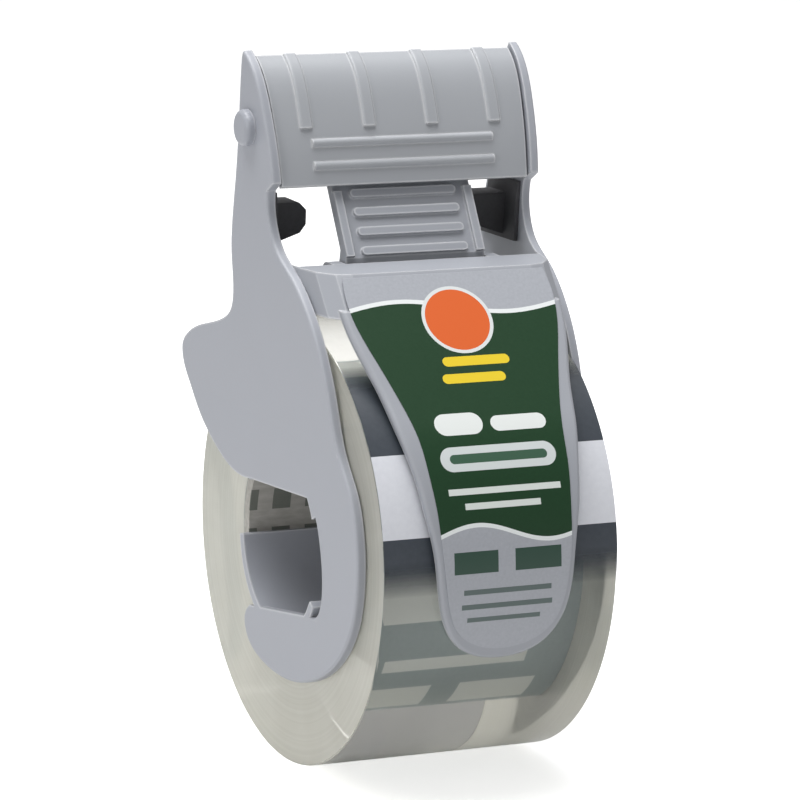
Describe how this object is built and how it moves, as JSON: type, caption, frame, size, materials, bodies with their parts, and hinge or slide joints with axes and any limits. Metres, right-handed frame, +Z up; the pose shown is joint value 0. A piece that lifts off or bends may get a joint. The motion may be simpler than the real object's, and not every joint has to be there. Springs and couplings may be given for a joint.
{
  "type": "tape dispenser",
  "caption": "hand-held packing tape dispenser with a clear tape roll, splayed grey side plates, front label tongue, thumb brake lever, applicator roller, toothed blade and swinging cover",
  "frame": {"origin": "bottom of the tape roll, midway across the tape and midway between label front and hook back", "axes": "+X across the tape to the right plate, +Y away from the label side, +Z up to the blade"},
  "size_m": [0.0608, 0.0944, 0.1351],
  "materials": {
    "grey_plastic": "satin moulded, fine grain",
    "grey_plastic_panel": "satin moulded",
    "grey_plastic_hidden": "satin moulded",
    "grey_plastic_cap": "satin moulded",
    "grey_plastic_cover": "satin moulded",
    "grey_plastic_lever": "satin moulded",
    "label_film": "printed film, green and silver",
    "black_rubber": "matte black",
    "pin_steel": "ground",
    "spring_steel": "drawn wire",
    "blade_steel": "stamped",
    "roller_plastic": "smooth",
    "core_board": "spiral wound",
    "core_paper": "printed",
    "clear_tape": "clear wound film",
    "starter_film": "printed film, white and navy"
  },
  "bodies": {
    "frame": {"left_side_plate": "grey_plastic", "right_side_plate": "grey_plastic", "front_panel": "grey_plastic_panel", "front_label": "label_film", "rear_tie_bar": "grey_plastic_hidden", "right_tape_rest": "black_rubber", "left_tape_rest": "black_rubber", "roller_axle": "pin_steel", "right_axle_cap": "grey_plastic_cap", "left_axle_cap": "grey_plastic_cap", "blade_holder": "grey_plastic_hidden", "cutting_blade": "blade_steel", "lever_pin": "pin_steel"},
    "roll": {"tape_core": "core_board", "core_print": "core_paper", "tape_winding": "clear_tape", "starter_label": "starter_film"},
    "roller": {"applicator_roller": "roller_plastic"},
    "cover": {"blade_cover": "grey_plastic_cover"},
    "lever": {"thumb_lever": "grey_plastic_lever", "brake_shoe": "black_rubber", "lever_spring": "spring_steel"}
  },
  "joints": [
    {"name": "roll_spin", "type": "hinge", "parent": "frame", "child": "roll", "pos_m": [0, -0.00171, 0.0429], "axis": [1, 0, 0], "continuous": true},
    {"name": "roller_spin", "type": "hinge", "parent": "frame", "child": "roller", "pos_m": [0, 0.01229, 0.1207], "axis": [1, 0, 0], "continuous": true},
    {"name": "cover_swing", "type": "hinge", "parent": "frame", "child": "cover", "pos_m": [0, 0.01229, 0.1207], "axis": [-1, 0, 0], "range_deg": [0, 22]},
    {"name": "lever_press", "type": "hinge", "parent": "frame", "child": "lever", "pos_m": [0, -0.00131, 0.0945], "axis": [-1, 0, 0], "range_deg": [0, 4], "stiffness_Nm_per_rad": 0.4, "springref_deg": -2.86}
  ]
}
